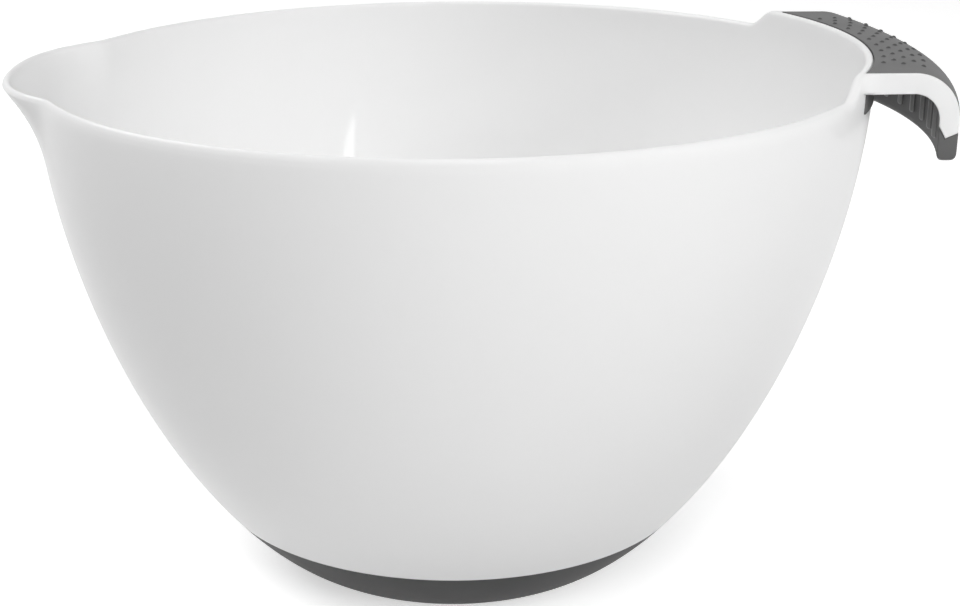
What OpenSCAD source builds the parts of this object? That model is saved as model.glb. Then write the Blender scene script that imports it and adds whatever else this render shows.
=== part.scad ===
// Batter bowl: a deep pouring bowl with one flared spout, a raised and hooked rim handle,
// a soft finger grip moulded round that handle and a soft non-slip base moulded over the foot.
// Millimetres, Z up. The origin is on the table under the bowl's axis, the handle points to +X
// and the spout to -X.

/* [Bowl] */
// Radius of the rim, on the outside.
rim_radius = 117.5; // [112:0.5:130]
// Height of the rim above the table, at the sides.
rim_height = 148.8; // [135:0.1:165]
// Radius of the flat under the foot.
foot_radius = 44; // [36:1:52]
// Thickness of the wall.
wall = 2.7; // [2.2:0.1:3.4]
// Thickness that the wall gains down to the floor.
floor_thickening = 1.5; // [0.8:0.1:2.5]
// Height below which the wall thickens.
thickening_height = 45; // [30:1:60]
// How far the rim falls from the sides to the spout, and climbs from them to the handle.
rim_tilt = 0.85; // [0:0.05:1.5]
// Power that makes the wall stand upright toward the rim.
rim_fullness = 1.736; // [1.45:0.001:1.9]
// Power that makes the wall round out from the foot.
foot_fullness = 1.497; // [1.4:0.001:1.8]
// Height over which the outside of the rim rounds in.
rim_round = 4; // [1.5:0.1:6]

/* [Spout] */
// How far the lip of the spout stands out from the round rim.
spout_reach = 10.5; // [6:0.5:14]
// Depth below the rim at which the spout dies out in the wall.
spout_depth = 22; // [16:1:40]
// Half the width of the spout, as an angle about the bowl's axis.
spout_half_angle = 22.2; // [16:0.1:26]
// Roundness of the crease on each side of the spout.
spout_blend = 1.2; // [0.6:0.1:2.5]
// Power that flares the spout outward toward its lip.
spout_flare = 2.15; // [1.5:0.05:2.8]
// Power that blunts the nose of the spout.
spout_nose = 3; // [2:0.1:4]

/* [Handle] */
// Height of the handle's flat top above the rim at the sides.
handle_rise = 6; // [4:0.5:9]
// How far the middle of the handle's outer face stands out from the rim.
handle_length = 21.9; // [19:0.1:32]
// Width of the handle.
handle_width = 104.8; // [92:0.2:112]
// Radius, seen from above, of the handle's outer face.
handle_face_radius = 160.7; // [130:0.1:200]
// How far out from the rim the middle of the flat top starts to turn down.
shoulder_start = 5.5; // [4:0.5:8.5]
// Radius, seen from above, of the line where the flat top starts to turn down.
shoulder_radius = 287.7; // [240:0.1:400]
// Height that the shoulder takes to turn from level to upright.
shoulder_drop = 12.5; // [10:0.5:13.5]
// Height of the handle's hook, from its flat top to the bottom of its lip.
handle_drop = 25; // [22.5:0.1:30]
// Thickness of the handle, of its white end walls and of its lip.
handle_thickness = 5.3; // [4.8:0.1:6]
// How far the corners of the lip rise at the two ends.
lip_corner_rise = 2.4; // [0:0.1:3]
// Length of each of those corners.
lip_corner_length = 12; // [6:1:20]
// Power that squares the rounded bottom of the lip; 2 is a half circle.
lip_squareness = 3.6; // [2:0.1:5]
// Width of the rising stretch of rim on each side of the handle, as an angle about the axis.
rise_angle = 5.2; // [4:0.1:9]
// Width of the white wall at each end of the handle.
end_wall = 1.2; // [1:0.1:3]

/* [Soft grip] */
// Thickness of the soft pad on top of the handle.
pad_top = 1.4; // [1:0.1:1.8]
// Thickness of the soft pad under the handle.
pad_under = 1.3; // [1:0.1:1.8]
// Width of the white edge that the rim shows beside the pad.
rim_edge = 2.3; // [1.9:0.1:2.5]
// Thickness of the strip that runs down the bowl's wall under the handle.
strip = 0.4; // [0.3:0.1:1.2]
// Height of that strip below the handle.
strip_height = 5.5; // [4:0.5:12]
// Radius of each raised dot on the pad.
dot_radius = 0.8; // [0.6:0.05:1.2]
// Height of each raised dot.
dot_height = 0.45; // [0.3:0.05:0.6]
// Distance from the outside of the rim to the first row of dots.
dot_margin = 2.1; // [1.8:0.1:4]
// Distance between the rows of dots.
dot_row_pitch = 2.6; // [2.1:0.05:2.8]
// Number of rows of dots.
dot_rows = 5; // [3:1:5]
// Angle between the dots of a row, about the bowl's axis.
dot_angle = 4.42; // [4:0.02:4.8]
// Number of dots in the first row and in every second row after it.
dots_per_row = 9; // [5:1:9]
// Radius of each finger rib inside the hook.
rib_radius = 1; // [0.8:0.1:1.3]
// Distance between the finger ribs.
rib_pitch = 11; // [8:0.5:13]
// Number of finger ribs on each side of the middle one.
ribs_per_side = 3; // [1:1:3]

/* [Non-slip base] */
// Height of the base's upper edge above the table.
base_height = 20.9; // [14:0.1:30]
// Thickness of the soft skin of the base.
base_thickness = 1.4; // [1:0.1:1.8]

/* [Hidden] */
// Clearance between a soft piece and the bowl that it is moulded on.
fit = 0.05;
// Step that the slope of the wall is measured over.
slope_step = 0.4;
// Depth of the groove between the rim's white edge and the ledge that carries the pad.
groove = 0.2;
// Height of that ledge.
ledge = 0.9;
// How far the handle's white core reaches into the rim.
anchor_depth = 0.75;
// Depth of the core's tip under the handle's top, and the length of its point.
core_tip = 15.6;
core_point = 1;
// Depths at which the end walls give way to the lip, on the outside, at their point and on the inside,
// and the distance of that point from the outside.
lip_line = 15.7;
lip_point = 17.2;
lip_inner_line = 13.9;
lip_point_inset = 3.4;
// Distance from the bottom of the lip to the finger ribs, and how far they run up into the shoulder.
rib_stop = 3.6;
rib_lead = 0.9;
// Power that gathers the rows of the seat toward the foot.
seat_power = 1.7;
// Steps in the rounded rim, the wall, its seat, the base, the hook, its shoulder, its lip and the strip.
arc_steps = 6;
wall_rows = 12;
seat_rows = 6;
base_rows = 12;
hook_stations = 24;
shoulder_steps = 10;
lip_steps = 8;
strip_steps = 4;
// Angles about the bowl's axis at which its section is drawn, closer at the handle and the spout.
section_angles = concat(
  [for (a = [-24 : 6 : 24]) a],
  [for (a = [25.5 : 1.5 : 36]) a],
  [for (a = [42 : 6 : 150]) a],
  [for (a = [152.5 : 2.5 : 210]) a],
  [for (a = [216 : 6 : 318]) a],
  [for (a = [324 : 1.5 : 334.5]) a]
);

white = [0.93, 0.93, 0.92];
grey = [0.34, 0.34, 0.35];

handle_top = rim_height + handle_rise;
handle_reach = rim_radius + handle_length;
shoulder_reach = rim_radius + shoulder_start;
dot_first_row = rim_radius + dot_margin;
half_width = handle_width / 2;
inner_width = half_width - end_wall;
rise_start = asin(half_width / (rim_radius - wall));
pad_radius = rim_radius - wall + rim_edge;
anchor_radius = pad_radius - anchor_depth;
core_under = handle_thickness - pad_under;
lip_radius = handle_thickness / 2;

function clamp(x) = min(1, max(0, x));
function smooth(x) = clamp(x) * clamp(x) * (3 - 2 * clamp(x));
function mix(a, b, share) = a + (b - a) * share;
function reversed(list) = [for (k = [len(list) - 1 : -1 : 0]) list[k]];

// The bowl's wall: its outer radius at a height, its slope, its thickness and a point inside it.
function wall_radius(z) = foot_radius + (rim_radius - foot_radius)
  * pow(1 - pow(clamp(1 - z / rim_height), rim_fullness), 1 / foot_fullness);
function wall_slope(z) = let (low = max(0, z - slope_step), high = z + slope_step)
  (wall_radius(high) - wall_radius(low)) / (high - low);
function wall_thickness(z) = wall + floor_thickening * pow(clamp(1 - z / thickening_height), 2);
function inside(z, depth) = let (slope = wall_slope(z), level = 1 / sqrt(1 + slope * slope))
  [wall_radius(z) - depth * level, z + depth * slope * level];
function seat_height(k, rows, top) = top * pow(k / rows, seat_power);

// The rim climbs to the handle in an S, and the spout pushes the wall out.
function at_handle(angle) = let (away = abs(angle > 180 ? angle - 360 : angle))
  smooth((rise_start + rise_angle - away) / rise_angle);
function rim_top(angle) = mix(rim_height + rim_tilt * cos(angle), handle_top, at_handle(angle));
function spout_push(angle, depth) = let (
    side = abs(angle - 180) / spout_half_angle,
    sharpness = spout_reach / spout_blend
  )
  pow(clamp(1 - depth / spout_depth), spout_flare)
  * spout_blend * ln(1 + exp(sharpness * (1 - pow(side, spout_nose))));

// How far the rim's outside stands in at a depth below its top.
function rim_fall(rounding, edge, depth) = edge / 2
  * (1 - sqrt(1 - pow(clamp(1 - depth / rounding), 2)));

// The bowl's section at an angle, from under the foot up the outside, over the rim and down to the floor.
function bowl_section(angle) = let (
    top = rim_top(angle),
    edge = mix(wall, rim_edge, at_handle(angle)),
    rounding = mix(rim_round, edge / 2, at_handle(angle)),
    cut = wall - edge,
    pad_floor = top - pad_top - groove,
    highest = pad_floor - ledge,
    heights = [for (k = [0 : wall_rows]) mix(base_height, highest, (1 - cos(180 * k / wall_rows)) / 2)],
    round_centre = wall_radius(top - edge / 2) + spout_push(angle, edge / 2) - cut - edge / 2
  )
  concat(
    [for (k = [0 : seat_rows]) inside(seat_height(k, seat_rows, base_height), base_thickness + fit)],
    [for (z = heights)
      [wall_radius(z) + spout_push(angle, top - z) - rim_fall(rounding, edge, top - z), z]],
    [[
      wall_radius(pad_floor) + spout_push(angle, top - pad_floor) - cut
        - rim_fall(rounding, edge, top - pad_floor),
      pad_floor
    ]],
    [for (k = [0 : arc_steps]) let (turn = 180 * k / arc_steps, z = top - edge / 2 * (1 - sin(turn)))
      [round_centre + (turn <= 90 ? edge / 2 - rim_fall(rounding, edge, top - z) : edge / 2 * cos(turn)), z]],
    [for (z = reversed(heights)) inside(z, wall_thickness(z)) + [spout_push(angle, top - z), 0]],
    [for (k = [seat_rows - 1 : -1 : 0]) let (z = seat_height(k, seat_rows, base_height))
      inside(z, wall_thickness(z))]
  );

module bowl_shell() {
  sections = [for (angle = section_angles) bowl_section(angle)];
  turns = len(section_angles);
  count = len(sections[0]);
  under = turns * count;
  polyhedron(
    points = concat(
      [for (i = [0 : turns - 1]) for (p = sections[i])
        [p[0] * cos(section_angles[i]), p[0] * sin(section_angles[i]), p[1]]],
      [[0, 0, sections[0][0][1]], [0, 0, sections[0][count - 1][1]]]
    ),
    faces = concat(
      [for (i = [0 : turns - 1]) let (a = i * count, b = (i + 1) % turns * count)
        for (k = [0 : count - 2]) each [[a + k, a + k + 1, b + k + 1], [a + k, b + k + 1, b + k]]],
      [for (i = [0 : turns - 1]) [under, i * count, (i + 1) % turns * count]],
      [for (i = [0 : turns - 1]) [under + 1, (i + 1) % turns * count + count - 1, i * count + count - 1]]
    )
  );
}

// The handle's plan: where its top turns down, its outer face, and the round of the bowl beside it.
function arc_drop(radius, y) = radius - sqrt(radius * radius - y * y);
function shoulder_x(y) = shoulder_reach - arc_drop(shoulder_radius, y);
function face_x(y) = handle_reach - arc_drop(handle_face_radius, y);
function round_x(radius, y) = sqrt(radius * radius - y * y);
function lip_z(y) = handle_top - handle_drop + lip_corner_rise
  * pow(clamp((abs(y) - half_width + lip_corner_length) / lip_corner_length), 2);

// A line a given depth under the handle's skin, out along its top, over the shoulder and down its face.
function hook_line(y, depth, start, bottom) = let (
    turn_x = shoulder_x(y),
    across = face_x(y) - turn_x - depth,
    down = shoulder_drop - depth
  )
  concat(
    [[start, handle_top - depth]],
    [for (k = [0 : shoulder_steps]) let (turn = 90 * k / shoulder_steps)
      [turn_x + across * sin(turn), handle_top - depth - down * (1 - cos(turn))]],
    [[face_x(y) - depth, bottom]]
  );
function lip_line_points(y) = [for (k = [1 : lip_steps - 1]) let (turn = 180 * k / lip_steps)
  [face_x(y) - lip_radius + squared(cos(turn)), lip_z(y) + lip_radius - squared(sin(turn))]];
function squared(x) = lip_radius * sign(x) * pow(abs(x), 2 / lip_squareness);
function core_end(y) = [[face_x(y) - lip_radius, handle_top - core_tip - core_point]];
function wall_end(y) = [[face_x(y) - lip_point_inset, handle_top - lip_point]];

function core_section(y) = let (start = round_x(anchor_radius, y), bottom = handle_top - core_tip)
  concat(
    hook_line(y, pad_top, start, bottom),
    core_end(y),
    reversed(hook_line(y, core_under, start, bottom))
  );
function end_section(y) = let (start = round_x(anchor_radius, y))
  concat(
    hook_line(y, 0, start, handle_top - lip_line),
    wall_end(y),
    reversed(hook_line(y, handle_thickness, start, handle_top - lip_inner_line))
  );
function lip_end_section(y) = let (x = face_x(y), bottom = lip_z(y) + lip_radius)
  concat(
    wall_end(y),
    [[x, handle_top - lip_line], [x, bottom]],
    lip_line_points(y),
    [[x - handle_thickness, bottom], [x - handle_thickness, handle_top - lip_inner_line]]
  );
function grip_section(y) = let (
    bottom = lip_z(y) + lip_radius,
    tip = handle_top - core_tip,
    start = round_x(pad_radius + fit, y),
    under_start = round_x(rim_radius + fit, y),
    strip_foot = handle_top - handle_thickness - strip_height,
    strip_top = handle_top - core_under
  )
  concat(
    hook_line(y, 0, start, bottom),
    lip_line_points(y),
    reversed(hook_line(y, handle_thickness, round_x(rim_radius + fit + strip, y), bottom)),
    [[round_x(wall_radius(strip_foot) + fit + strip, y), strip_foot]],
    [for (k = [0 : strip_steps - 1]) let (z = mix(strip_foot, strip_top, k / strip_steps))
      [round_x(wall_radius(z) + fit, y), z]],
    hook_line(y, core_under, under_start, tip),
    core_end(y),
    reversed(hook_line(y, pad_top, start, tip))
  );

// Triangles that close the end of a section: a ladder between two rows of its points, and a fan.
line_count = shoulder_steps + 3;
lip_count = lip_steps - 1;
function ladder(row, other) = [for (k = [0 : len(row) - 2])
  each [[row[k], row[k + 1], other[k + 1]], [row[k], other[k + 1], other[k]]]];
function fan(tip, row) = [for (k = [0 : len(row) - 2]) [tip, row[k], row[k + 1]]];
function counted(from, count) = [for (k = [0 : count - 1]) from + k];

hook_cap = let (
    outer = counted(0, line_count),
    inner = reversed(counted(line_count + 1, line_count))
  )
  concat(ladder(outer, inner), [[line_count - 1, line_count, line_count + 1]]);
lip_end_cap = fan(0, counted(1, lip_count + 4));
grip_cap = let (
    skin = counted(0, line_count),
    lip = counted(line_count, lip_count),
    below = reversed(counted(line_count + lip_count, line_count)),
    strip_edge = counted(2 * line_count + lip_count, strip_steps + 2),
    above = counted(strip_edge[strip_steps + 1], line_count),
    tip = above[0] + line_count,
    under_pad = reversed(counted(tip + 1, line_count)),
    last = line_count - 1
  )
  concat(
    ladder(skin, under_pad),
    ladder(above, below),
    fan(below[0], strip_edge),
    fan(tip, concat([under_pad[last], skin[last]], lip, [below[last], above[last]]))
  );

// A solid drawn through one closed section after another, each at its own distance along the handle.
// Its quads are split by their place, so that pieces that share a line are split alike.
module lofted(sections, places, cap) {
  count = len(sections[0]);
  last = len(sections) - 1;
  polyhedron(
    points = [for (j = [0 : last]) for (p = sections[j]) [p[0], places[j], p[1]]],
    faces = concat(
      cap,
      [for (t = cap) [for (i = reversed(t)) last * count + i]],
      [for (j = [0 : last - 1]) let (a = j * count, b = a + count)
        for (k = [0 : count - 1]) let (n = (k + 1) % count, p = sections[j][k], q = sections[j][n])
          each (p[0] - p[1] < q[0] - q[1]) == (places[j] < 0)
            ? [[a + k, b + k, b + n], [a + k, b + n, a + n]]
            : [[a + k, b + k, a + n], [b + k, b + n, a + n]]]
    )
  );
}

module handle_core() {
  tucked = inner_width + end_wall / 2;
  places = concat(
    [-tucked],
    [for (k = [0 : hook_stations]) mix(-inner_width, inner_width, k / hook_stations)],
    [tucked]
  );
  lofted([for (y = places) core_section(y)], places, hook_cap);
}

module end_walls() {
  for (side = [-1, 1]) {
    places = side < 0 ? [-half_width, -inner_width] : [inner_width, half_width];
    lofted([for (y = places) end_section(y)], places, hook_cap);
  }
}

// The height of the handle's skin above a place on it.
function skin_z(x, y) = let (across = (x - shoulder_x(y)) / (face_x(y) - shoulder_x(y)))
  handle_top - shoulder_drop * (1 - sqrt(1 - pow(clamp(across), 2)));

// One raised dot: the cap of a ball, sunk no deeper than the middle of the pad.
module dot() {
  sink = pad_top / 2;
  side = 4 * dot_radius;
  intersection() {
    translate([0, 0, dot_height - dot_radius])
      sphere(r = dot_radius, $fn = 16);
    translate([-side / 2, -side / 2, -sink])
      cube([side, side, sink + side]);
  }
}

module dots() {
  for (row = [0 : dot_rows - 1]) {
    count = dots_per_row - row % 2;
    distance = dot_first_row + row * dot_row_pitch;
    for (k = [0 : count - 1]) {
      angle = (k - (count - 1) / 2) * dot_angle;
      x = distance * cos(angle);
      y = distance * sin(angle);
      translate([x, y, skin_z(x, y)])
        dot();
    }
  }
}

// One finger rib: a round-ended bar, sunk no deeper than the middle of the pad under the handle.
module finger_rib(length) {
  sink = pad_under / 2;
  side = 4 * rib_radius;
  intersection() {
    union() {
      cylinder(h = length, r = rib_radius, $fn = 20);
      sphere(r = rib_radius, $fn = 20);
      translate([0, 0, length])
        sphere(r = rib_radius, $fn = 20);
    }
    translate([sink - side, -side / 2, -side / 2])
      cube([side, side, length + side]);
  }
}

module finger_ribs() {
  low = handle_top - handle_drop + rib_stop + rib_radius;
  high = handle_top - shoulder_drop + rib_lead;
  for (k = [-ribs_per_side : ribs_per_side]) {
    y = k * rib_pitch;
    translate([face_x(y) - handle_thickness, y, low])
      finger_rib(high - low);
  }
}

module bowl() {
  color(white)
    union() {
      bowl_shell();
      handle_core();
      end_walls();
    }
}

module grip() {
  places = [for (k = [0 : hook_stations]) mix(-inner_width, inner_width, k / hook_stations)];
  color(grey)
    union() {
      lofted([for (y = places) grip_section(y)], places, grip_cap);
      for (side = [-1, 1]) {
        ends = side < 0 ? [-half_width, -inner_width] : [inner_width, half_width];
        lofted([for (y = ends) lip_end_section(y)], ends, lip_end_cap);
      }
      dots();
      finger_ribs();
    }
}

module base() {
  heights = [for (k = [0 : base_rows]) seat_height(k, base_rows, base_height - fit)];
  inner = [for (z = reversed(heights)) inside(z, base_thickness)];
  color(grey)
    rotate_extrude($fn = 120)
      polygon(concat(
        [[0, 0]],
        [for (z = heights) [wall_radius(z), z]],
        inner,
        [[0, inner[base_rows][1]]]
      ));
}

bowl();
grip();
base();
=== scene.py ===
import math
import bpy
from mathutils import Matrix, Vector


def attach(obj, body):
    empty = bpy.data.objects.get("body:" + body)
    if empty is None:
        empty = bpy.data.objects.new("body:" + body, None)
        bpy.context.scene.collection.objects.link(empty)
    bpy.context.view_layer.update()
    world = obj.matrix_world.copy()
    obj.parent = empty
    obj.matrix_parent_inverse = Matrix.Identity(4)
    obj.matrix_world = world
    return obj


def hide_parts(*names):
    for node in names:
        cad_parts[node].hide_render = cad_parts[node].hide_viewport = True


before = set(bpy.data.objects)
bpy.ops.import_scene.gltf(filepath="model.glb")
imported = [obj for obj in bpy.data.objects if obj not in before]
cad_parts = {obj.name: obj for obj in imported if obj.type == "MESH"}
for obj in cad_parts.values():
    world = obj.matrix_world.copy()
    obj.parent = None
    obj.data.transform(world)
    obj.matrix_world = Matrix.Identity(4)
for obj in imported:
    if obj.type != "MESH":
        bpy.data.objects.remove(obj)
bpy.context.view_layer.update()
mm = 0.001

# sizes in millimetres, the same as in the bowl's CAD source, and the fineness of the meshes;
# below spoutEnd the spout's push counts as none
bowlForm = {
    "rimRadius": 117.5, "rimHeight": 148.8, "footRadius": 44.0,
    "wall": 2.7, "floorThickening": 1.5, "thickeningHeight": 45.0,
    "rimTilt": 0.85, "rimFullness": 1.736, "footFullness": 1.497, "rimRound": 4.0,
    "spoutReach": 10.5, "spoutDepth": 22.0, "spoutHalfAngle": 22.2,
    "spoutBlend": 1.2, "spoutFlare": 2.15, "spoutNose": 3.0, "spoutEnd": -60,
    "handleRise": 6.0, "riseAngle": 5.2, "rimEdge": 2.3, "groove": 0.2, "ledge": 0.9,
    "beadFrom": 26.4, "beadTo": 28.0,
    "slopeStep": 0.4, "turns": 480, "wallRows": 44, "arcRows": 12,
}
handleForm = {
    "reach": 139.4, "width": 104.8, "faceRadius": 160.7,
    "shoulderReach": 123.0, "shoulderRadius": 287.7, "shoulderDrop": 12.5,
    "drop": 25.0, "thickness": 5.3, "cornerRise": 2.4, "cornerLength": 12.0,
    "endWall": 1.2, "coreTip": 15.6, "corePoint": 1.0, "lipSquareness": 3.6,
    "lipLine": 15.7, "lipPoint": 17.2, "lipInnerLine": 13.9, "lipPointInset": 3.4,
    "padTop": 1.4, "padUnder": 1.3, "anchorDepth": 0.75, "fit": 0.05,
    "shoulderSteps": 20, "lipSteps": 20, "stations": 60,
}
baseForm = {
    "height": 20.9, "thickness": 1.4, "rows": 26, "seatRows": 9, "seatPower": 1.7, "turns": 240,
}

# angles in degrees below which an edge is shaded smooth, and the millimetres within which
# points count as one
meshing = {
    "shellSmooth": 40, "hookSmooth": 35, "blendSmooth": 50, "dotSmooth": 50, "ribSmooth": 60,
    "baseSmooth": 35, "weld": 0.002, "near": 0.01, "angleDigits": 4,
}

handleTop = bowlForm["rimHeight"] + bowlForm["handleRise"]
halfWidth = handleForm["width"] / 2
innerWidth = halfWidth - handleForm["endWall"]
lipRadius = handleForm["thickness"] / 2
coreUnder = handleForm["thickness"] - handleForm["padUnder"]
padRadius = bowlForm["rimRadius"] - bowlForm["wall"] + bowlForm["rimEdge"]
riseStart = math.degrees(math.asin(halfWidth / (bowlForm["rimRadius"] - bowlForm["wall"])))


def clamp(x):
    return min(1.0, max(0.0, x))


def mix(a, b, share):
    return a + (b - a) * share


def smooth(share):
    return share * share * (3 - 2 * share)


# the line of the bowl's wall
def wallRadius(z):
    fall = clamp(1 - z / bowlForm["rimHeight"]) ** bowlForm["rimFullness"]
    share = (1 - fall) ** (1 / bowlForm["footFullness"])
    return mix(bowlForm["footRadius"], bowlForm["rimRadius"], share)


def wallThickness(z):
    rise = clamp(1 - z / bowlForm["thickeningHeight"])
    return bowlForm["wall"] + bowlForm["floorThickening"] * rise ** 2


def insideWall(z, depth):
    low, high = max(0, z - bowlForm["slopeStep"]), z + bowlForm["slopeStep"]
    slope = (wallRadius(high) - wallRadius(low)) / (high - low)
    level = 1 / math.sqrt(1 + slope * slope)
    return wallRadius(z) - depth * level, z + depth * slope * level


def seatHeight(k, rows, top):
    return top * (k / rows) ** baseForm["seatPower"]


# the rim's climb to the handle, and the push of the spout
def atHandle(angle):
    return smooth(clamp((riseStart + bowlForm["riseAngle"] - abs(angle)) / bowlForm["riseAngle"]))


# 1 where the rim's edge narrows to a bead beside the pad
def besidePad(angle):
    return clamp((bowlForm["beadTo"] - abs(angle)) / (bowlForm["beadTo"] - bowlForm["beadFrom"]))


def rimTop(angle):
    level = bowlForm["rimHeight"] + bowlForm["rimTilt"] * math.cos(math.radians(angle))
    return mix(level, handleTop, atHandle(angle))


def spoutPush(angle, depth):
    side = (180 - abs(angle)) / bowlForm["spoutHalfAngle"]
    steep = bowlForm["spoutReach"] / bowlForm["spoutBlend"] * (1 - side ** bowlForm["spoutNose"])
    out = 0
    if steep > bowlForm["spoutEnd"]:
        out = bowlForm["spoutBlend"] * math.log1p(math.exp(steep))
    return clamp(1 - depth / bowlForm["spoutDepth"]) ** bowlForm["spoutFlare"] * out


def rimFall(rounding, edge, depth):
    return edge / 2 * (1 - math.sqrt(1 - clamp(1 - depth / rounding) ** 2))


def bowlSection(angle):
    top = rimTop(angle)
    edge = mix(bowlForm["wall"], bowlForm["rimEdge"], besidePad(angle))
    cut = bowlForm["wall"] - edge
    rounding = mix(bowlForm["rimRound"], edge / 2, atHandle(angle))
    padFloor = top - handleForm["padTop"] - bowlForm["groove"]
    rows, arcs = bowlForm["wallRows"], bowlForm["arcRows"]
    low, high = baseForm["height"], padFloor - bowlForm["ledge"]

    def outside(z):
        return wallRadius(z) + spoutPush(angle, top - z) - rimFall(rounding, edge, top - z)

    heights = [mix(low, high, (1 - math.cos(math.pi * k / rows)) / 2) for k in range(rows + 1)]
    seats = [seatHeight(k, baseForm["seatRows"], low) for k in range(baseForm["seatRows"] + 1)]
    centre = wallRadius(top - edge / 2) + spoutPush(angle, edge / 2) - cut - edge / 2
    line = [insideWall(z, baseForm["thickness"] + handleForm["fit"]) for z in seats]
    line += [(outside(z), z) for z in heights]
    line += [(outside(padFloor) - cut, padFloor)]
    for k in range(arcs + 1):
        turn = math.pi * k / arcs
        depth = edge / 2 * (1 - math.sin(turn))
        outward = edge / 2 * math.cos(turn)
        if turn < math.pi / 2:
            outward = edge / 2 - rimFall(rounding, edge, depth)
        line.append((centre + outward, top - depth))
    for z in reversed(heights):
        r, lift = insideWall(z, wallThickness(z))
        line.append((r + spoutPush(angle, top - z), lift))
    line += [insideWall(z, wallThickness(z)) for z in reversed(seats[:-1])]
    return [(0, line[0][1])] + line + [(0, line[-1][1])]


# the lines of the handle at a distance y along it
def arcDrop(radius, y):
    return radius - math.sqrt(radius * radius - y * y)


def faceX(y):
    return handleForm["reach"] - arcDrop(handleForm["faceRadius"], y)


def shoulderX(y):
    return handleForm["shoulderReach"] - arcDrop(handleForm["shoulderRadius"], y)


def roundX(radius, y):
    return math.sqrt(radius * radius - y * y)


def lipZ(y):
    share = clamp((abs(y) - halfWidth + handleForm["cornerLength"]) / handleForm["cornerLength"])
    return handleTop - handleForm["drop"] + handleForm["cornerRise"] * share ** 2


def hookLine(y, depth, start, bottom):
    across = faceX(y) - shoulderX(y) - depth
    down = handleForm["shoulderDrop"] - depth
    line = [(start, handleTop - depth)]
    for k in range(handleForm["shoulderSteps"] + 1):
        turn = math.pi / 2 * k / handleForm["shoulderSteps"]
        z = handleTop - depth - down * (1 - math.cos(turn))
        line.append((shoulderX(y) + across * math.sin(turn), z))
    return line + [(faceX(y) - depth, bottom)]


def lipLine(y):
    line = []
    for k in range(1, handleForm["lipSteps"]):
        turn = math.pi * k / handleForm["lipSteps"]
        x = faceX(y) - lipRadius + squared(math.cos(turn))
        line.append((x, lipZ(y) + lipRadius - squared(math.sin(turn))))
    return line


def squared(x):
    return math.copysign(lipRadius * abs(x) ** (2 / handleForm["lipSquareness"]), x)


def coreEnd(y):
    return [(faceX(y) - lipRadius, handleTop - handleForm["coreTip"] - handleForm["corePoint"])]


def wallEnd(y):
    return [(faceX(y) - handleForm["lipPointInset"], handleTop - handleForm["lipPoint"])]


# modelling steps that several pieces share
def deselectAll():
    if bpy.context.object and bpy.context.object.mode != "OBJECT":
        bpy.ops.object.mode_set(mode="OBJECT")
    bpy.ops.object.select_all(action="DESELECT")


def editAll():
    bpy.ops.object.mode_set(mode="EDIT")
    bpy.ops.mesh.select_mode(type="VERT")
    bpy.ops.mesh.select_all(action="SELECT")


def drawLine(name, points):
    # one point, extruded from place to place; each point keeps its number in the line
    deselectAll()
    bpy.ops.mesh.primitive_plane_add(size=mm, location=points[0])
    piece = bpy.context.object
    piece.name = name
    bpy.ops.object.transform_apply(location=True, rotation=False, scale=False)
    editAll()
    bpy.ops.mesh.merge(type="CENTER")
    for before, after in zip(points, points[1:]):
        bpy.ops.mesh.extrude_region_move(TRANSFORM_OT_translate={"value": after - before})
    bpy.ops.object.mode_set(mode="OBJECT")
    numbers = piece.data.attributes.new("ring", "INT", "POINT")
    for vertex in piece.data.vertices:
        nearest = min(range(len(points)), key=lambda i: (points[i] - vertex.co).length)
        numbers.data[vertex.index].value = nearest
    return piece


def ringsOf(piece):
    return [item.value for item in piece.data.attributes["ring"].data]


def finishPiece(piece, smoothAngle):
    deselectAll()
    piece.select_set(True)
    bpy.context.view_layer.objects.active = piece
    editAll()
    bpy.ops.mesh.normals_make_consistent(inside=False)
    bpy.ops.object.mode_set(mode="OBJECT")
    if "ring" in piece.data.attributes:
        piece.data.attributes.remove(piece.data.attributes["ring"])
    bpy.ops.object.shade_smooth_by_angle(angle=math.radians(smoothAngle))


def spinLine(name, line, turns):
    piece = drawLine(name, [Vector((r, 0, z)) * mm for r, z in line])
    editAll()
    bpy.ops.mesh.spin(steps=turns, angle=math.tau, center=(0, 0, 0), axis=(0, 0, 1))
    bpy.ops.mesh.select_all(action="SELECT")
    bpy.ops.mesh.remove_doubles(threshold=meshing["weld"] * mm)
    bpy.ops.object.mode_set(mode="OBJECT")
    return piece


def loftAlong(name, section, places):
    # a closed outline, extruded along the handle and then set to its section at each place
    outline = [Vector((x, places[0], z)) * mm for x, z in section(places[0])]
    piece = drawLine(name, outline)
    ends = (0, len(outline) - 1)
    for vertex, ring in zip(piece.data.vertices, ringsOf(piece)):
        vertex.select = ring in ends
    for edge in piece.data.edges:
        edge.select = False
    bpy.ops.object.mode_set(mode="EDIT")
    bpy.ops.mesh.select_mode(type="VERT")
    bpy.ops.mesh.edge_face_add()
    bpy.ops.mesh.select_all(action="SELECT")
    for before, after in zip(places, places[1:]):
        step = (0, (after - before) * mm, 0)
        bpy.ops.mesh.extrude_edges_move(TRANSFORM_OT_translate={"value": step})
    bpy.ops.mesh.select_all(action="SELECT")
    bpy.ops.mesh.fill_holes(sides=0)
    bpy.ops.object.mode_set(mode="OBJECT")
    sections = [section(y) for y in places]
    for vertex, ring in zip(piece.data.vertices, ringsOf(piece)):
        along = vertex.co.y / mm
        station = min(range(len(places)), key=lambda i: abs(places[i] - along))
        x, z = sections[station][ring]
        vertex.co = Vector((x, places[station], z)) * mm
    return piece


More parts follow.
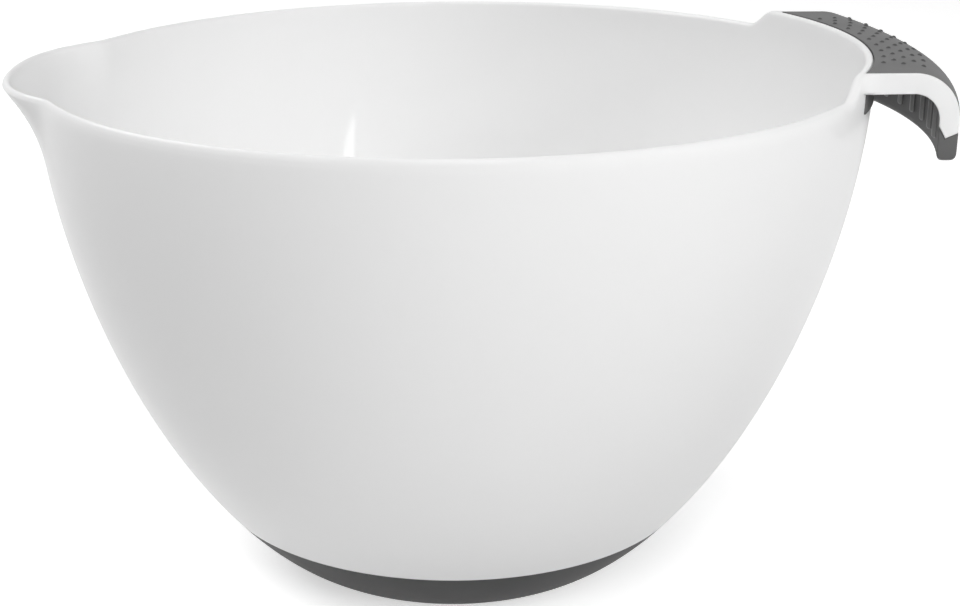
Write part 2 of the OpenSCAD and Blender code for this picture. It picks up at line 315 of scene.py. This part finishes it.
def bevelOuterEdge(piece, width, segments):
    # rounds the outline that lies in the handle's end face
    bpy.context.view_layer.objects.active = piece
    bpy.ops.object.mode_set(mode="EDIT")
    bpy.ops.mesh.select_mode(type="EDGE")
    bpy.ops.mesh.select_all(action="DESELECT")
    bpy.ops.object.mode_set(mode="OBJECT")
    vertices = piece.data.vertices
    endFace, near = halfWidth * mm, meshing["near"] * mm
    for edge in piece.data.edges:
        edge.select = all(abs(abs(vertices[i].co.y) - endFace) < near for i in edge.vertices)
    bpy.ops.object.mode_set(mode="EDIT")
    bpy.ops.mesh.bevel(offset=width * mm, segments=segments, affect="EDGES", clamp_overlap=True)
    bpy.ops.object.mode_set(mode="OBJECT")


def joinPieces(name, pieces):
    deselectAll()
    for piece in pieces:
        piece.select_set(True)
    bpy.context.view_layer.objects.active = pieces[0]
    bpy.ops.object.join()
    pieces[0].name = name
    return pieces[0]


def evenPlaces(low, high, steps):
    return [mix(low, high, k / steps) for k in range(steps + 1)]


# the white bowl, spun and then given its spout and its raised rim
bowlShell = spinLine("bowlShell", bowlSection(90), bowlForm["turns"])
sectionAt = {}
for vertex, ring in zip(bowlShell.data.vertices, ringsOf(bowlShell)):
    angle = math.degrees(math.atan2(vertex.co.y, vertex.co.x))
    angle = round(angle, meshing["angleDigits"])
    if angle not in sectionAt:
        sectionAt[angle] = bowlSection(angle)
    r, z = sectionAt[angle][ring]
    turn = math.radians(angle)
    vertex.co = Vector((r * math.cos(turn), r * math.sin(turn), z)) * mm
finishPiece(bowlShell, meshing["shellSmooth"])
print("bowl shell:", len(bowlShell.data.vertices), "vertices")

# the handle's white core and its two end walls
endWallForm = {"bevel": 0.6, "bevelSegments": 4, "steps": 3}


def coreSection(y):
    start = roundX(padRadius - handleForm["anchorDepth"], y)
    bottom = handleTop - handleForm["coreTip"]
    outer = hookLine(y, handleForm["padTop"], start, bottom)
    inner = hookLine(y, coreUnder, start, bottom)
    return outer + coreEnd(y) + inner[::-1]


def endSection(y):
    start = roundX(padRadius - handleForm["anchorDepth"], y)
    outer = hookLine(y, 0, start, handleTop - handleForm["lipLine"])
    inner = hookLine(y, handleForm["thickness"], start, handleTop - handleForm["lipInnerLine"])
    return outer + wallEnd(y) + inner[::-1]


stations = evenPlaces(-innerWidth, innerWidth, handleForm["stations"])
handleCore = loftAlong("handleCore", coreSection, stations)
finishPiece(handleCore, meshing["hookSmooth"])
handleWalls = []
for side in (-1, 1):
    places = evenPlaces(side * innerWidth, side * halfWidth, endWallForm["steps"])
    wall = loftAlong("endWall", endSection, places)
    bevelOuterEdge(wall, endWallForm["bevel"], endWallForm["bevelSegments"])
    finishPiece(wall, meshing["hookSmooth"])
    handleWalls.append(wall)

# the rounded corners through which the rim flows into the two end walls
blendForm = {
    "radius": 8.0, "steps": 14, "roundSteps": 5, "overlap": 1.3, "band": 4.6, "under": 0.03,
}


def blendCorner(side):
    radius = blendForm["radius"]
    across = bowlForm["rimRadius"] + radius
    centreY = -(halfWidth + radius)
    centreX = math.sqrt(across ** 2 - centreY ** 2)
    wallTurn = math.atan2(-centreY, -centreX)

    def section(share):
        turn = mix(math.pi / 2, wallTurn, share)
        x, y = centreX + radius * math.cos(turn), centreY + radius * math.sin(turn)
        top = rimTop(math.degrees(math.atan2(y, x))) - blendForm["under"]
        flow, bevel = smooth(share), endWallForm["bevel"]
        handleUnder = handleTop - handleForm["thickness"] + blendForm["under"]
        low = mix(handleUnder, top - blendForm["band"], flow)
        broad = mix(bevel, bowlForm["wall"] / 2, flow)
        tall = mix(bevel, bowlForm["rimRound"], flow)
        depth = blendForm["overlap"] * (1 + math.sin(math.pi * share))
        corner = evenPlaces(0, math.pi / 2, blendForm["roundSteps"])
        line = [(depth, low)]
        line += [(bevel * (1 - math.sin(t)), low + bevel * (1 - math.cos(t))) for t in corner]
        line += [(broad * (1 - math.cos(t)), top - tall * (1 - math.sin(t))) for t in corner]
        return line + [(depth, top)]

    piece = loftAlong("blendCorner", section, evenPlaces(0, 1, blendForm["steps"]))
    for vertex in piece.data.vertices:
        turn = mix(math.pi / 2, wallTurn, vertex.co.y / mm)
        reach = radius + vertex.co.x / mm
        vertex.co.x = (centreX + reach * math.cos(turn)) * mm
        vertex.co.y = -side * (centreY + reach * math.sin(turn)) * mm
    finishPiece(piece, meshing["blendSmooth"])
    return piece


blends = [blendCorner(side) for side in (-1, 1)]
handleHook = joinPieces("handleHook", [handleCore] + handleWalls + blends)
print("handle hook:", len(handleHook.data.vertices), "vertices")

# the soft grip round the core, with its strip on the bowl's wall and its two lip ends
gripForm = {
    "strip": 0.4, "stripHeight": 5.5, "stripSteps": 8,
    "bevel": 0.6, "bevelSegments": 4, "steps": 3,
}


def gripSection(y):
    bottom, tip = lipZ(y) + lipRadius, handleTop - handleForm["coreTip"]
    fit, rim = handleForm["fit"], bowlForm["rimRadius"]
    start, underStart = roundX(padRadius + fit, y), roundX(rim + fit, y)
    stripStart = roundX(rim + fit + gripForm["strip"], y)
    stripFoot = handleTop - handleForm["thickness"] - gripForm["stripHeight"]
    stripTop = handleTop - coreUnder
    line = hookLine(y, 0, start, bottom) + lipLine(y)
    line += hookLine(y, handleForm["thickness"], stripStart, bottom)[::-1]
    line += [(roundX(wallRadius(stripFoot) + fit + gripForm["strip"], y), stripFoot)]
    for k in range(gripForm["stripSteps"]):
        z = mix(stripFoot, stripTop, k / gripForm["stripSteps"])
        line.append((roundX(wallRadius(z) + fit, y), z))
    line += hookLine(y, coreUnder, underStart, tip)
    line += coreEnd(y)
    return line + hookLine(y, handleForm["padTop"], start, tip)[::-1]


def lipEndSection(y):
    x, bottom = faceX(y), lipZ(y) + lipRadius
    line = wallEnd(y) + [(x, handleTop - handleForm["lipLine"]), (x, bottom)] + lipLine(y)
    x -= handleForm["thickness"]
    return line + [(x, bottom), (x, handleTop - handleForm["lipInnerLine"])]


gripBody = loftAlong("gripBody", gripSection, stations)
finishPiece(gripBody, meshing["hookSmooth"])
gripParts = [gripBody]
for side in (-1, 1):
    places = evenPlaces(side * innerWidth, side * halfWidth, gripForm["steps"])
    lipEnd = loftAlong("lipEnd", lipEndSection, places)
    bevelOuterEdge(lipEnd, gripForm["bevel"], gripForm["bevelSegments"])
    finishPiece(lipEnd, meshing["hookSmooth"])
    gripParts.append(lipEnd)
softGrip = joinPieces("softGrip", gripParts)
print("soft grip:", len(softGrip.data.vertices), "vertices")

# raised dots on the pad, one modelled and the rest copied
dotForm = {
    "radius": 0.8, "height": 0.45, "firstRow": 119.6, "rowPitch": 2.6, "rows": 5,
    "angle": 4.42, "perRow": 9, "segments": 20, "rings": 12, "sunk": 0.7,
}


def skinZ(x, y):
    across = clamp((x - shoulderX(y)) / (faceX(y) - shoulderX(y)))
    return handleTop - handleForm["shoulderDrop"] * (1 - math.sqrt(1 - across * across))


def copyTo(piece, offset):
    made = piece.copy()
    made.data = piece.data.copy()
    made.data.transform(Matrix.Translation(offset))
    bpy.context.collection.objects.link(made)
    return made


deselectAll()
bpy.ops.mesh.primitive_uv_sphere_add(
    segments=dotForm["segments"], ring_count=dotForm["rings"], radius=dotForm["radius"] * mm,
    location=(0, 0, (dotForm["height"] - dotForm["radius"]) * mm))
oneDot = bpy.context.object
bpy.ops.object.transform_apply(location=True, rotation=False, scale=False)
editAll()
bpy.ops.mesh.bisect(
    plane_co=(0, 0, -dotForm["sunk"] * mm), plane_no=(0, 0, -1), use_fill=True, clear_outer=True)
bpy.ops.object.mode_set(mode="OBJECT")
dots = []
for row in range(dotForm["rows"]):
    count = dotForm["perRow"] - row % 2
    distance = dotForm["firstRow"] + row * dotForm["rowPitch"]
    for k in range(count):
        angle = math.radians((k - (count - 1) / 2) * dotForm["angle"])
        x, y = distance * math.cos(angle), distance * math.sin(angle)
        dots.append(copyTo(oneDot, Vector((x, y, skinZ(x, y))) * mm))
bpy.data.objects.remove(oneDot)
gripDots = joinPieces("gripDots", dots)
finishPiece(gripDots, meshing["dotSmooth"])
print("dots:", len(dots))

# finger ribs inside the hook
ribForm = {
    "radius": 1.0, "pitch": 11.0, "perSide": 3, "stop": 3.6, "lead": 0.9,
    "segments": 24, "rings": 12,
}
ribLow = handleTop - handleForm["drop"] + ribForm["stop"] + ribForm["radius"]
ribHigh = handleTop - handleForm["shoulderDrop"] + ribForm["lead"]
ribs = []
for k in range(-ribForm["perSide"], ribForm["perSide"] + 1):
    y = k * ribForm["pitch"]
    deselectAll()
    bpy.ops.mesh.primitive_uv_sphere_add(
        segments=ribForm["segments"], ring_count=ribForm["rings"], radius=ribForm["radius"] * mm,
        location=Vector((faceX(y) - handleForm["thickness"], y, ribLow)) * mm)
    rib = bpy.context.object
    bpy.ops.object.transform_apply(location=True, rotation=False, scale=False)
    for vertex in rib.data.vertices:
        vertex.select = vertex.co.z > (ribLow + meshing["near"]) * mm
    for group in (rib.data.edges, rib.data.polygons):
        for item in group:
            item.select = all(rib.data.vertices[i].select for i in item.vertices)
    bpy.ops.object.mode_set(mode="EDIT")
    bpy.ops.transform.translate(value=(0, 0, (ribHigh - ribLow) * mm))
    bpy.ops.object.mode_set(mode="OBJECT")
    ribs.append(rib)
gripRibs = joinPieces("gripRibs", ribs)
finishPiece(gripRibs, meshing["ribSmooth"])
print("ribs:", len(ribs))


# the soft base under the foot
def baseLine():
    top = baseForm["height"] - handleForm["fit"]
    heights = [seatHeight(k, baseForm["rows"], top) for k in range(baseForm["rows"] + 1)]
    inner = [insideWall(z, baseForm["thickness"]) for z in reversed(heights)]
    return [(0, 0)] + [(wallRadius(z), z) for z in heights] + inner + [(0, inner[-1][1])]


softBase = spinLine("softBase", baseLine(), baseForm["turns"])
finishPiece(softBase, meshing["baseSmooth"])
print("soft base:", len(softBase.data.vertices), "vertices")


# materials
def addNode(tree, kind, **settings):
    node = tree.nodes.new(kind)
    for key, value in settings.items():
        setattr(node, key, value)
    return node


noiseDetail = {"Cloud": 3.0, "Grain": 4.0}


def buildMouldedSurface():
    # slow cloudiness, fine grain and a sparse speckle of moulded plastic and rubber
    group = bpy.data.node_groups.new("mouldedSurface", "ShaderNodeTree")
    for socket in ("Cloud Scale", "Grain Scale", "Speck Scale"):
        group.interface.new_socket(socket, in_out="INPUT", socket_type="NodeSocketFloat")
    for socket in ("Cloud", "Grain", "Speck"):
        group.interface.new_socket(socket, in_out="OUTPUT", socket_type="NodeSocketFloat")
    entry, leave = addNode(group, "NodeGroupInput"), addNode(group, "NodeGroupOutput")
    place = addNode(group, "ShaderNodeTexCoord")
    for socket, detail in noiseDetail.items():
        noise = addNode(group, "ShaderNodeTexNoise")
        noise.inputs["Detail"].default_value = detail
        group.links.new(place.outputs["Object"], noise.inputs["Vector"])
        group.links.new(entry.outputs[socket + " Scale"], noise.inputs["Scale"])
        group.links.new(noise.outputs["Fac"], leave.inputs[socket])
    cells = addNode(group, "ShaderNodeTexVoronoi")
    group.links.new(place.outputs["Object"], cells.inputs["Vector"])
    group.links.new(entry.outputs["Speck Scale"], cells.inputs["Scale"])
    group.links.new(cells.outputs["Distance"], leave.inputs["Speck"])
    return group


mouldedSurface = buildMouldedSurface()


def makeMaterial(name, look):
    material = bpy.data.materials.new(name)
    material.use_nodes = True
    tree = material.node_tree
    shader = tree.nodes["Principled BSDF"]
    surface = addNode(tree, "ShaderNodeGroup", node_tree=mouldedSurface)
    for socket in ("Cloud Scale", "Grain Scale", "Speck Scale"):
        surface.inputs[socket].default_value = look[socket]
    colour = addNode(tree, "ShaderNodeMix", data_type="RGBA")
    colour.inputs["A"].default_value = (look["colour"],) * 3 + (1,)
    colour.inputs["B"].default_value = (look["cloudColour"],) * 3 + (1,)
    tree.links.new(surface.outputs["Cloud"], colour.inputs["Factor"])
    tree.links.new(colour.outputs["Result"], shader.inputs["Base Color"])
    rough = addNode(tree, "ShaderNodeMapRange")
    rough.inputs["To Min"].default_value, rough.inputs["To Max"].default_value = look["roughness"]
    tree.links.new(surface.outputs["Cloud"], rough.inputs["Value"])
    tree.links.new(rough.outputs["Result"], shader.inputs["Roughness"])
    relief = addNode(tree, "ShaderNodeMix", data_type="FLOAT")
    relief.inputs["Factor"].default_value = look["speckShare"]
    tree.links.new(surface.outputs["Grain"], relief.inputs["A"])
    tree.links.new(surface.outputs["Speck"], relief.inputs["B"])
    bump = addNode(tree, "ShaderNodeBump")
    bump.inputs["Strength"].default_value = look["bump"]
    bump.inputs["Distance"].default_value = look["bumpDepth"] * mm
    tree.links.new(relief.outputs["Result"], bump.inputs["Height"])
    tree.links.new(bump.outputs["Normal"], shader.inputs["Normal"])
    shader.inputs["Specular IOR Level"].default_value = look["specular"]
    shader.inputs["Coat Weight"].default_value = look["coat"]
    shader.inputs["Coat Roughness"].default_value = look["coatRoughness"]
    return material


# every colour is a plain grey, so it is one number
looks = {
    "whitePlastic": {
        "colour": 0.90, "cloudColour": 0.885, "roughness": (0.30, 0.38),
        "Cloud Scale": 14.0, "Grain Scale": 1600.0, "Speck Scale": 900.0, "speckShare": 0.2,
        "bump": 0.05, "bumpDepth": 0.1, "specular": 0.05, "coat": 0.15, "coatRoughness": 0.05,
    },
    "gripRubber": {
        "colour": 0.094, "cloudColour": 0.082, "roughness": (0.55, 0.68),
        "Cloud Scale": 60.0, "Grain Scale": 2600.0, "Speck Scale": 2200.0, "speckShare": 0.5,
        "bump": 0.25, "bumpDepth": 0.12, "specular": 0.5, "coat": 0.0, "coatRoughness": 0.5,
    },
    # the ribs' rubber is the grip's rubber painted about three times lighter: a painted highlight
    # for the light that catches the rounded ribs
    "ribRubberPaintedSheen": {
        "colour": 0.3, "cloudColour": 0.27, "roughness": (0.32, 0.42),
        "Cloud Scale": 60.0, "Grain Scale": 2600.0, "Speck Scale": 2200.0, "speckShare": 0.5,
        "bump": 0.12, "bumpDepth": 0.1, "specular": 0.6, "coat": 0.0, "coatRoughness": 0.5,
    },
    # the dots' rubber is the grip's rubber painted darker: painted shade for the shaded sides of
    # the raised dots
    "dotRubberPaintedShade": {
        "colour": 0.05, "cloudColour": 0.043, "roughness": (0.5, 0.6),
        "Cloud Scale": 60.0, "Grain Scale": 2600.0, "Speck Scale": 2200.0, "speckShare": 0.5,
        "bump": 0.15, "bumpDepth": 0.1, "specular": 0.4, "coat": 0.0, "coatRoughness": 0.5,
    },
    "baseRubber": {
        "colour": 0.064, "cloudColour": 0.056, "roughness": (0.5, 0.62),
        "Cloud Scale": 40.0, "Grain Scale": 2400.0, "Speck Scale": 2000.0, "speckShare": 0.5,
        "bump": 0.2, "bumpDepth": 0.12, "specular": 0.12, "coat": 0.0, "coatRoughness": 0.5,
    },
}
materials = {name: makeMaterial(name, look) for name, look in looks.items()}
dressing = [
    (bowlShell, "whitePlastic", "bowl_plastic", ["bowl"]),
    (handleHook, "whitePlastic", "bowl_plastic", []),
    (softGrip, "gripRubber", "grip_rubber", ["grip"]),
    (gripDots, "dotRubberPaintedShade", "grip_rubber", []),
    (gripRibs, "ribRubberPaintedSheen", "grip_rubber", []),
    (softBase, "baseRubber", "base_rubber", ["base"]),
]
for piece, materialName, slotName, nodes in dressing:
    piece.data.materials.clear()
    piece.data.materials.append(materials[materialName])
    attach(piece, "root")
    if nodes:
        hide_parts(*nodes)
print("materials and rides done")

# camera, fitted to the photograph's outlines
cameraView = {
    "place": (-14.84, -485.93, 239.30), "pitchDown": 18.56, "turn": -1.75,
    "lens": 64.11, "shiftX": 0.0283, "sensor": 36, "nearest": 0.01,
}
cameraData = bpy.data.cameras.new("camera")
cameraData.sensor_width = cameraView["sensor"]
cameraData.lens = cameraView["lens"]
cameraData.shift_x = cameraView["shiftX"]
cameraData.clip_start = cameraView["nearest"]
camera = bpy.data.objects.new("camera", cameraData)
camera.location = Vector(cameraView["place"]) * mm
pitch, turn = math.radians(90 - cameraView["pitchDown"]), math.radians(cameraView["turn"])
camera.rotation_euler = (pitch, 0, turn)
bpy.context.scene.collection.objects.link(camera)
bpy.context.scene.camera = camera

# floor, world and lamps
studio = {
    "floorSize": 3.2, "floorTone": 0.8, "floorGlow": 0.6, "worldFill": 0.03,
    "aim": (0, 0, 0.08), "insideAim": (-0.034, 0.103, 0.1),
}
# the small lamps stand where the inside wall mirrors them
softLamps = [
    {"name": "keyLamp", "place": (1.35, -1.25, 1.45), "size": (1.3, 1.3), "power": 8.4},
    {"name": "frontLamp", "place": (0.1, -1.65, 1.7), "size": (1.2, 1.2), "power": 23.3},
    {"name": "backLamp", "place": (-1.35, 0.65, 1.5), "size": (1.3, 1.3), "power": 26.3},
    {"name": "sideLamp", "place": (1.9, -0.95, 0.85), "size": (1.2, 1.2), "power": 8.2},
]
smallLamps = [
    {"name": "stripLamp", "place": (0.961, -1.306, 0.62), "size": (0.33, 0.1), "power": 1.7},
    {"name": "spotLamp", "place": (0.644, -1.441, 0.735), "size": (0.2, 0.2), "power": 1.1},
]
lampTilt = {"stripLamp": 53}


def seenDirectly(tree):
    # 1 for rays that show the background: straight ones, reflected ones and refracted ones
    path = addNode(tree, "ShaderNodeLightPath")
    first = addNode(tree, "ShaderNodeMath", operation="MAXIMUM")
    second = addNode(tree, "ShaderNodeMath", operation="MAXIMUM")
    tree.links.new(path.outputs["Is Camera Ray"], first.inputs[0])
    tree.links.new(path.outputs["Is Glossy Ray"], first.inputs[1])
    tree.links.new(first.outputs[0], second.inputs[0])
    tree.links.new(path.outputs["Is Transmission Ray"], second.inputs[1])
    return second.outputs[0]


deselectAll()
bpy.ops.mesh.primitive_plane_add(size=studio["floorSize"])
floor = bpy.context.object
floor.name = "floor"
floorMaterial = bpy.data.materials.new("floorPaper")
floorMaterial.use_nodes = True
tree = floorMaterial.node_tree
tree.nodes.clear()
matte = addNode(tree, "ShaderNodeBsdfDiffuse")
matte.inputs["Color"].default_value = (studio["floorTone"],) * 3 + (1,)
glow = addNode(tree, "ShaderNodeEmission")
strength = addNode(tree, "ShaderNodeMath", operation="MULTIPLY")
strength.inputs[1].default_value = studio["floorGlow"]
tree.links.new(seenDirectly(tree), strength.inputs[0])
tree.links.new(strength.outputs[0], glow.inputs["Strength"])
both = addNode(tree, "ShaderNodeAddShader")
tree.links.new(matte.outputs[0], both.inputs[0])
tree.links.new(glow.outputs[0], both.inputs[1])
tree.links.new(both.outputs[0], addNode(tree, "ShaderNodeOutputMaterial").inputs["Surface"])
floor.data.materials.append(floorMaterial)

world = bpy.data.worlds.new("studio")
world.use_nodes = True
bpy.context.scene.world = world
tree = world.node_tree
level = addNode(tree, "ShaderNodeMapRange")
level.inputs["To Min"].default_value = studio["worldFill"]
level.inputs["To Max"].default_value = 1.0
tree.links.new(seenDirectly(tree), level.inputs["Value"])
tree.nodes["Background"].inputs["Color"].default_value = (1, 1, 1, 1)
tree.links.new(level.outputs["Result"], tree.nodes["Background"].inputs["Strength"])

for lamp in softLamps + smallLamps:
    lampData = bpy.data.lights.new(lamp["name"], "AREA")
    lampData.shape = "ELLIPSE"
    lampData.size, lampData.size_y = lamp["size"]
    lampData.energy = lamp["power"]
    lampObject = bpy.data.objects.new(lamp["name"], lampData)
    lampObject.location = lamp["place"]
    aim = studio["insideAim"] if lamp in smallLamps else studio["aim"]
    facing = (Vector(aim) - Vector(lamp["place"])).to_track_quat("-Z", "Y").to_euler()
    facing.rotate_axis("Z", math.radians(lampTilt.get(lamp["name"], 0)))
    lampObject.rotation_euler = facing
    bpy.context.scene.collection.objects.link(lampObject)

bpy.context.scene.view_settings.view_transform = "Standard"
print("studio ready")
